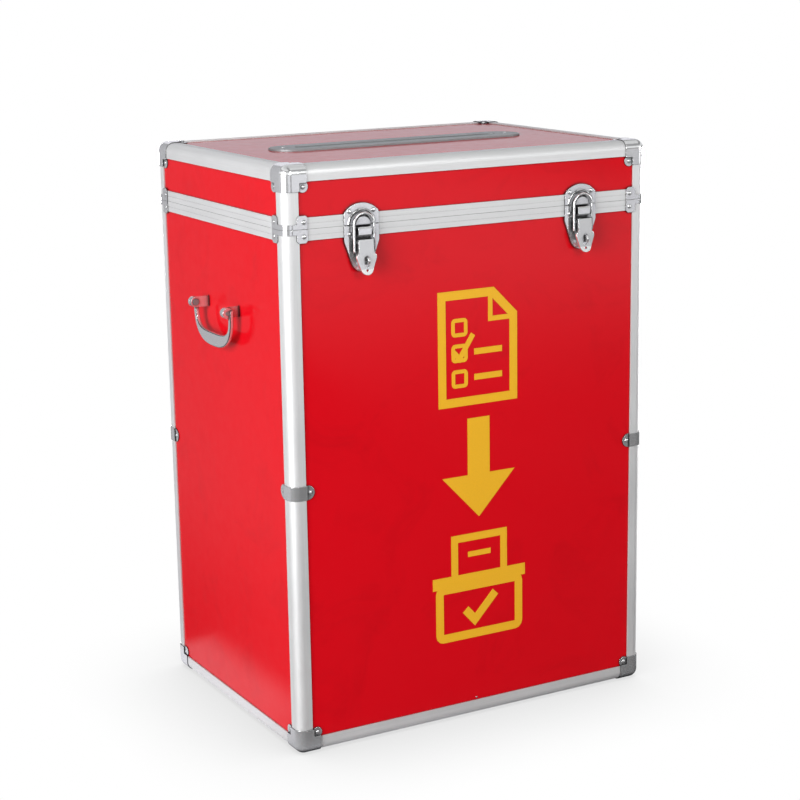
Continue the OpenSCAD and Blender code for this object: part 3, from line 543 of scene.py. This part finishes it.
class BALLOT_OT_edges(bpy.types.Operator):
    """Finish the aluminium posts, rails and rims, each brushed along its length"""

    bl_idname = "ballot.edges"
    bl_label = "Edges"

    def execute(self, context):
        metal = context.scene.ballot_metal
        colour = tuple(metal.aluminium)
        along = {
            "x": brushed_material("aluminium_along_x", colour, metal.brushed, (0.02, 1, 1)),
            "y": brushed_material("aluminium_along_y", colour, metal.brushed, (1, 0.02, 1)),
            "z": brushed_material("aluminium_along_z", colour, metal.brushed, (1, 1, 0.02)),
        }
        for name, node in NODES.items():
            if "post" in name:
                node.material_slots[0].material = along["z"]
            elif ("rail" in name or "rim" in name) and "clips" not in name:
                turned = name.endswith("left") or name.endswith("right")
                node.material_slots[0].material = along["y" if turned else "x"]
        return {"FINISHED"}


class BALLOT_OT_fittings(bpy.types.Operator):
    """Finish the plated corner pieces, clips, latches, handles, hinges and rivets"""

    bl_idname = "ballot.fittings"
    bl_label = "Fittings"

    def execute(self, context):
        metal = context.scene.ballot_metal
        chrome = chrome_material("bright_plate", tuple(metal.chrome), 0.1)
        rivet = chrome_material("rivet_heads", tuple(0.96 * c for c in metal.chrome), 0.16)
        cast = chrome_material("plated_handles", tuple(0.95 * c for c in metal.chrome), 0.14)
        pins = brushed_material("pin_ends", (0.30, 0.30, 0.31), 0.35, (0.3, 1, 1), 1500.0)
        for name, node in NODES.items():
            if name.endswith("_pins"):
                node.material_slots[0].material = pins
            elif name.endswith("rivets"):
                node.material_slots[0].material = rivet
            elif "handle" in name:
                node.material_slots[0].material = cast
            elif any(part in name for part in ("corners", "clips", "latch", "hinge")):
                node.material_slots[0].material = chrome
        for side in ("left", "right"):
            self.strike_bead(side, chrome)
        return {"FINISHED"}

    def strike_bead(self, side, chrome):
        """The bead pressed into the strike round the wire loop's arch."""
        loop_low, loop_high = box_mm("latch_loop_" + side)
        half_loop = (loop_high[0] - loop_low[0]) / 2
        vertices, faces = half_ring(
            (loop_low[0] + loop_high[0]) / 2, loop_high[2] - half_loop, half_loop + 2.0, 1.15,
            FRONT_Y - 1.2, 0.8)
        made = piece("strike_bead_" + side, vertices, faces, chrome)
        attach(made, "lid")


class BALLOT_OT_slot_plate(bpy.types.Operator):
    """Finish the steel plate round the posting slot"""

    bl_idname = "ballot.slot_plate"
    bl_label = "Slot plate"

    def execute(self, context):
        steel = tuple(context.scene.ballot_metal.steel)
        finish = brushed_material("satin_steel", steel, 0.34, (0.03, 1, 1), 700.0)
        NODES["slot_plate"].material_slots[0].material = finish
        return {"FINISHED"}


class BALLOT_OT_signs(bpy.types.Operator):
    """Lay the three generic signs of gold film on the front board"""

    bl_idname = "ballot.signs"
    bl_label = "Signs"

    def execute(self, context):
        signs = context.scene.ballot_signs
        film = film_material(signs)
        pitch = (signs.top - signs.bottom) / 3
        size = signs.width
        back = BOARD_Y + 0.02
        front = BOARD_Y - signs.thickness
        drawings = (self.paper(), self.arrow(), self.box())
        for row, (name, strokes) in enumerate(zip(("sign_paper", "sign_arrow", "sign_box"), drawings)):
            centre = np.array([signs.centre_x, signs.top - pitch * (row + 0.5)])
            placed = [(centre + size * np.asarray(points), size * width, closed)
                      for points, width, closed in strokes]
            vertices, faces = film_shapes(placed, back, front)
            made = piece(name, vertices, faces, film, smooth=False)
            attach(made, "case_body")
        return {"FINISHED"}

    def paper(self):
        """A ballot sheet with a folded corner and rows of boxes, one ticked, in parts of the sign's width."""
        sheet = [[-0.37, -0.48], [0.37, -0.48], [0.37, 0.26], [0.15, 0.48], [-0.37, 0.48]]
        fold = [[0.13, 0.46], [0.13, 0.24], [0.35, 0.24]]
        rows = (0.23, 0.0, -0.23)
        boxes = [(rounded_rectangle(-0.19, z - 0.04, 0.13, 0.13, 0.02, 4), 0.035, True) for z in rows]
        lines = [([[-0.04, z - 0.04], [0.25, z - 0.04]], 0.055, False) for z in rows[1:]]
        tick = ([[-0.26, -0.02], [-0.19, -0.09], [-0.05, 0.12]], 0.05, False)
        return [(sheet, 0.08, True), (fold, 0.045, False), *boxes, *lines, tick]

    def arrow(self):
        """A broad arrow that points down to the box."""
        half, neck, tip = 0.115, -0.06, -0.46
        outline = [[-half, 0.46], [-half, neck], [-0.38, neck], [0, tip], [0.38, neck], [half, neck], [half, 0.46]]
        return [(outline, 0, True)]

    def box(self):
        """A box with a sheet half in its slot and a tick on its front."""
        body = rounded_rectangle(0, -0.23, 0.84, 0.46, 0.04, 4)
        lid = [[-0.49, 0.01], [0.49, 0.01], [0.49, 0.12], [-0.49, 0.12]]
        sheet = [[-0.26, 0.1], [-0.26, 0.46], [0.26, 0.46], [0.26, 0.1]]
        tick = [[-0.15, -0.22], [-0.05, -0.33], [0.17, -0.1]]
        return [(body, 0.08, True), (lid, 0, True), (sheet, 0.07, False),
                ([[-0.12, 0.3], [0.12, 0.3]], 0.05, False), (tick, 0.08, False)]


class BALLOT_OT_stage(bpy.types.Operator):
    """Set the floor, lamps, world and camera"""

    bl_idname = "ballot.stage"
    bl_label = "Stage"

    yaw = 0.0

    def execute(self, context):
        stage = context.scene.ballot_stage
        self.yaw = stage.yaw
        context.scene.view_settings.view_transform = "Standard"
        self.floor()
        self.world(context.scene, stage.daylight)
        self.lamp("key", (-2.1, -0.9, 0.9), (0, 0, 0.35), 1.4, 58)
        self.lamp("front", (0.1, -1.45, 1.04), (0, -0.15, 0.5), 0.5, 6.2)
        self.lamp("front_right", (1.9, -1.4, 0.7), (0.1, -0.15, 0.35), 0.6, 6)
        self.lamp("right_side", (2.5, 0.6, 0.3), (0, 0, 0.35), 0.56, 38)
        self.lamp("behind", (0.5, 2.5, 0.3), (0, 0, 0.35), 0.56, 36)
        self.camera(context.scene, stage)
        return {"FINISHED"}

    def floor(self):
        """Level pale floor that turns up behind into a wall, as a profile swept along X, with a painted reflection
        for glossy rays and a painted shadow for the camera.
        """
        run = np.concatenate([[-6.0], np.linspace(1.5, 4.0, 2)])
        angle = np.linspace(-math.pi / 2, 0, 16)
        curve = np.column_stack([4.0 + 1.5 * np.cos(angle), 1.5 + 1.5 * np.sin(angle)])
        profile = np.concatenate([np.column_stack([run, np.zeros(len(run))]), curve, [[5.5, 6.0]]])
        n = len(profile)
        sides = [np.column_stack([np.full(n, x), profile]) for x in (-9.0, 9.0)]
        i = np.arange(n - 1)
        faces = np.column_stack([i, i + n, i + n + 1, i + 1])
        material, tree = node_tree("pale_floor")
        path = add(tree, "ShaderNodeLightPath").outputs
        axes = add(tree, "ShaderNodeSeparateXYZ", {0: place_of(tree)}).outputs
        # Painted reflection: an emission seen only by glossy rays, brighter ahead of the case, at its left side, on
        # the wall and close round its foot, cut by a dark lane toward the camera's default place and a narrow dark
        # stripe ahead.
        ahead = self.fade(tree, axes[1], -1.2, -3.0, 0.8)
        beside = self.fade(tree, axes[0], 3.7, 2.2, 1.0)
        left = math_node(tree, "MULTIPLY", self.fade(tree, axes[0], -0.2, -0.6, 0.26),
                         self.fade(tree, axes[1], -0.6, 0.0, 1.0))
        wall = math_node(tree, "MULTIPLY", self.fade(tree, axes[1], 3.0, 4.5, 0.84),
                         self.fade(tree, axes[0], -0.6, 0.6, 1.0))
        wall = math_node(tree, "MULTIPLY", wall, self.fade(tree, axes[2], 0.6, 0.9, 1.0))
        glow = math_node(tree, "MULTIPLY", ahead, beside)
        glow = math_node(tree, "ADD", math_node(tree, "ADD", glow, 0.05), math_node(tree, "ADD", left, wall))
        aside = math_node(tree, "SUBTRACT", math_node(tree, "ABSOLUTE", axes[0]), HALF_W * MM)
        deep = math_node(tree, "SUBTRACT", math_node(tree, "ABSOLUTE", axes[1]), HALF_D * MM)
        close_by = self.fade(tree, math_node(tree, "MAXIMUM", aside, deep), 0.09, 0.04, 0.7)
        glow = math_node(tree, "ADD", glow, close_by)
        across = math_node(tree, "ABSOLUTE", self.along(tree, axes, math.cos(self.yaw), -math.sin(self.yaw)))
        towards = self.along(tree, axes, -math.sin(self.yaw), -math.cos(self.yaw))
        lane = math_node(tree, "MULTIPLY", self.fade(tree, across, 1.1, 0.8, 0.9),
                         self.fade(tree, towards, 0.1, 0.3, 1.0))
        glow = math_node(tree, "MULTIPLY", glow, math_node(tree, "SUBTRACT", 1.0, lane))
        glow = math_node(tree, "MULTIPLY", glow, self.gap(tree, axes, 0.36, 0.2))
        grey = add(tree, "ShaderNodeBsdfDiffuse", {"Color": (0.5, 0.5, 0.5, 1)})
        reflected = add(tree, "ShaderNodeEmission", {"Color": (0.98, 0.97, 1.04, 1), "Strength": glow})
        # Painted shadow: the white the camera sees dims by ambient occlusion close to the case.
        open_sky = add(tree, "ShaderNodeAmbientOcclusion", {"Distance": 0.16}, samples=12).outputs["AO"]
        shadow = add(tree, "ShaderNodeMapRange", {0: open_sky, 1: 0.3, 2: 0.97, 3: 0.72, 4: 1.0}).outputs[0]
        white = add(tree, "ShaderNodeEmission", {"Color": (1, 1, 1, 1), "Strength": shadow})
        plain = add(tree, "ShaderNodeMixShader",
                    {0: path["Is Glossy Ray"], 1: grey.outputs[0], 2: reflected.outputs[0]})
        mixed = add(tree, "ShaderNodeMixShader",
                    {0: path["Is Camera Ray"], 1: plain.outputs[0], 2: white.outputs[0]})
        close_material(tree, mixed)
        made = piece("floor", np.concatenate(sides) / MM, faces, material, closed=False)

    def along(self, tree, axes, x, y):
        """Distance over the floor in the direction (x, y)."""
        return math_node(tree, "ADD", math_node(tree, "MULTIPLY", axes[0], x),
                         math_node(tree, "MULTIPLY", axes[1], y))

    def gap(self, tree, axes, outer, inner):
        """A mask for the painted reflections: 1 beside a narrow dark stripe ahead of the case and 0.04 inside it, by
        the distance from its middle.
        """
        angle = 0.2
        across = math_node(tree, "ABSOLUTE", self.along(tree, axes, math.cos(angle), math.sin(angle)))
        ahead = self.fade(tree, self.along(tree, axes, math.sin(angle), -math.cos(angle)), 0.05, 0.2, 1.0)
        dark = math_node(tree, "MULTIPLY", self.fade(tree, across, outer, inner, 0.96), ahead)
        return math_node(tree, "SUBTRACT", 1.0, dark)

    def fade(self, tree, value, start, end, top):
        """A smooth rise from 0 at the start to the top value at the end."""
        return add(tree, "ShaderNodeMapRange", {0: value, 1: start, 2: end, 3: 0.0, 4: top},
                   interpolation_type="SMOOTHSTEP").outputs[0]

    def world(self, scene, strength):
        """Even grey light, white where the camera looks, and with darker bands where metal looks."""
        world = bpy.data.worlds.new("studio")
        world.use_nodes = True
        tree = world.node_tree
        tree.nodes.clear()
        path = add(tree, "ShaderNodeLightPath").outputs
        look = add(tree, "ShaderNodeTexCoord").outputs["Generated"]
        axes = add(tree, "ShaderNodeSeparateXYZ", {0: look}).outputs
        ramp = add(tree, "ShaderNodeValToRGB", {0: math_node(tree, "MULTIPLY_ADD", axes[2], 0.5)})
        lift = tree.nodes[ramp.inputs[0].links[0].from_node.name]
        lift.inputs[2].default_value = 0.5
        stops = ramp.color_ramp.elements
        stops[0].position, stops[0].color = 0.0, (0.8, 0.8, 0.8, 1)
        stops[1].position, stops[1].color = 1.0, (0.4, 0.4, 0.4, 1)
        for position, shade in ((0.5, 0.6), (0.53, 0.12), (0.57, 0.1), (0.61, 0.9), (0.69, 0.9), (0.73, 0.2),
                                (0.84, 0.16), (0.88, 0.75)):
            stop = stops.new(position)
            stop.color = (shade, shade, shade, 1)
        even = add(tree, "ShaderNodeBackground", {"Color": (1, 1, 1, 1), "Strength": strength})
        banded = add(tree, "ShaderNodeBackground",
                     {"Color": ramp.outputs[0], "Strength": self.gap(tree, axes, 0.2, 0.1)})
        white = add(tree, "ShaderNodeBackground", {"Color": (1, 1, 1, 1), "Strength": 1.0})
        glossy = add(tree, "ShaderNodeMixShader",
                     {0: path["Is Glossy Ray"], 1: even.outputs[0], 2: banded.outputs[0]})
        final = add(tree, "ShaderNodeMixShader",
                    {0: path["Is Camera Ray"], 1: glossy.outputs[0], 2: white.outputs[0]})
        out = tree.nodes.new("ShaderNodeOutputWorld")
        tree.links.new(final.outputs[0], out.inputs[0])
        scene.world = world

    def lamp(self, name, place, target, size, power):
        """A square soft lamp that faces the target."""
        data = bpy.data.lights.new(name, "AREA")
        data.shape = "SQUARE"
        data.size = size
        data.energy = power
        made = bpy.data.objects.new(name, data)
        made.location = place
        made.rotation_euler = (Vector(target) - Vector(place)).to_track_quat("-Z", "Y").to_euler()
        bpy.context.scene.collection.objects.link(made)

    def camera(self, scene, stage):
        """The photograph's view: a forward axis from yaw and pitch, rolled about itself."""
        forward = Vector((math.sin(stage.yaw) * math.cos(stage.pitch),
                          math.cos(stage.yaw) * math.cos(stage.pitch), -math.sin(stage.pitch)))
        right = Vector((math.cos(stage.yaw), -math.sin(stage.yaw), 0))
        up = right.cross(forward)
        right_rolled = math.cos(stage.roll) * right + math.sin(stage.roll) * up
        up_rolled = -math.sin(stage.roll) * right + math.cos(stage.roll) * up
        data = bpy.data.cameras.new("camera")
        data.sensor_fit = "HORIZONTAL"
        data.sensor_width = 36
        data.lens = 36 * stage.focal_px
        data.clip_end = 50
        made = bpy.data.objects.new("camera", data)
        turn = made.matrix_world.to_3x3()
        for row in range(3):
            turn[row] = (right_rolled[row], up_rolled[row], -forward[row])
        made.location = stage.camera_place
        made.rotation_euler = turn.to_euler()
        scene.collection.objects.link(made)
        scene.camera = made


OPERATORS = (
    BALLOT_OT_boards,
    BALLOT_OT_edges,
    BALLOT_OT_fittings,
    BALLOT_OT_slot_plate,
    BALLOT_OT_signs,
    BALLOT_OT_stage,
)


class BALLOT_PT_panel(bpy.types.Panel):
    """Lists the steps and their settings"""

    bl_idname = "BALLOT_PT_panel"
    bl_label = "Ballot Box"
    bl_space_type = "VIEW_3D"
    bl_region_type = "UI"
    bl_category = "Ballot Box"

    def draw(self, context):
        for name, group in SETTINGS.items():
            column = self.layout.column(align=True)
            for field in group.__annotations__:
                column.prop(getattr(context.scene, name), field)
        for operator in OPERATORS:
            self.layout.operator(operator.bl_idname)


CLASSES = (*SETTINGS.values(), *OPERATORS, BALLOT_PT_panel)


def register():
    for cls in CLASSES:
        bpy.utils.register_class(cls)
    for name, group in SETTINGS.items():
        setattr(bpy.types.Scene, name, bpy.props.PointerProperty(type=group))


def unregister():
    for name in SETTINGS:
        delattr(bpy.types.Scene, name)
    for cls in reversed(CLASSES):
        bpy.utils.unregister_class(cls)


def main():
    """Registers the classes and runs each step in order."""
    register()
    for operator in OPERATORS:
        area, step = operator.bl_idname.split(".")
        getattr(getattr(bpy.ops, area), step)()


if __name__ == "__main__":
    main()
